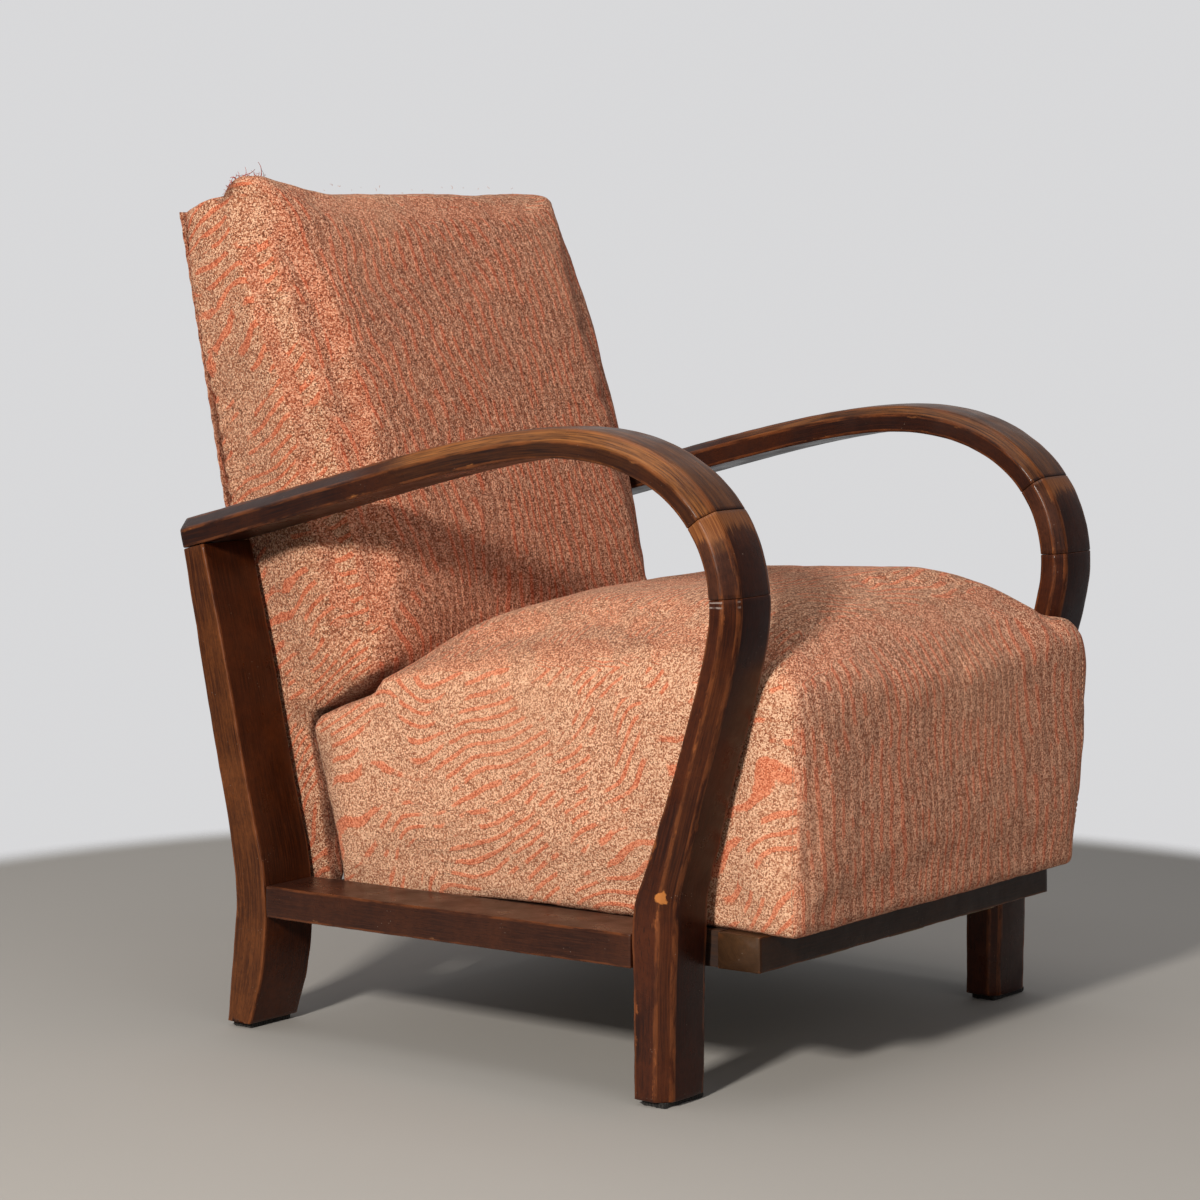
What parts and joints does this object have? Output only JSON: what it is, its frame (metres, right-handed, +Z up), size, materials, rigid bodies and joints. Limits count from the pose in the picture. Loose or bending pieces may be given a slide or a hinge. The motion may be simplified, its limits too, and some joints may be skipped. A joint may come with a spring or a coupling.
{
  "type": "armchair",
  "caption": "Old upholstered armchair with bevelled bent-wood arms running into the front legs, sabre-shaped rear legs, a raked back and a worn, torn salmon cover.",
  "frame": {"origin": "on the floor, under the middle of the whole chair's bounding box", "axes": "+Z up, -Y towards the front edge of the seat, +X towards the sitter's left arm"},
  "size_m": [0.64, 0.79, 0.8503],
  "materials": {
    "stained_wood": "worn dark brown varnish, orange where rubbed",
    "plain_wood": "bare beech",
    "cover": "salmon and dark brown nubby weave, faded and soiled",
    "jute": "coarse jute",
    "steel": "dull spring steel",
    "felt": "worn black felt"
  },
  "bodies": {
    "root": {"back_bottom_rail": "plain_wood", "back_canvas": "jute", "back_middle_rail": "plain_wood", "back_top_rail": "plain_wood", "back_upholstery": "cover", "cross_strap_1": "jute", "cross_strap_2": "jute", "cross_strap_3": "jute", "front_rail": "stained_wood", "left_arm_bend": "stained_wood", "left_back_stile": "plain_wood", "left_frame_screw_1": "steel", "left_frame_screw_2": "steel", "left_front_corner_block": "plain_wood", "left_front_foot_pad": "felt", "left_front_leg": "stained_wood", "left_lower_dowel_inner": "plain_wood", "left_lower_dowel_outer": "plain_wood", "left_rear_corner_block": "plain_wood", "left_rear_foot_pad": "felt", "left_rear_leg": "stained_wood", "left_seat_side_rail": "plain_wood", "left_side_rail": "stained_wood", "left_upper_arm": "stained_wood", "left_upper_dowel_inner": "plain_wood", "left_upper_dowel_outer": "plain_wood", "long_strap_1": "jute", "long_strap_2": "jute", "long_strap_3": "jute", "outer_back": "cover", "right_arm_bend": "stained_wood", "right_back_stile": "plain_wood", "right_frame_screw_1": "steel", "right_frame_screw_2": "steel", "right_front_corner_block": "plain_wood", "right_front_foot_pad": "felt", "right_front_leg": "stained_wood", "right_lower_dowel_inner": "plain_wood", "right_lower_dowel_outer": "plain_wood", "right_rear_corner_block": "plain_wood", "right_rear_foot_pad": "felt", "right_rear_leg": "stained_wood", "right_seat_side_rail": "plain_wood", "right_side_rail": "stained_wood", "right_upper_arm": "stained_wood", "right_upper_dowel_inner": "plain_wood", "right_upper_dowel_outer": "plain_wood", "seat_back_rail": "plain_wood", "seat_canvas": "jute", "seat_spring_1": "steel", "seat_spring_2": "steel", "seat_spring_3": "steel", "seat_spring_4": "steel", "seat_spring_5": "steel", "seat_spring_6": "steel", "seat_spring_7": "steel", "seat_spring_8": "steel", "seat_spring_9": "steel", "seat_upholstery": "cover"}
  },
  "joints": []
}
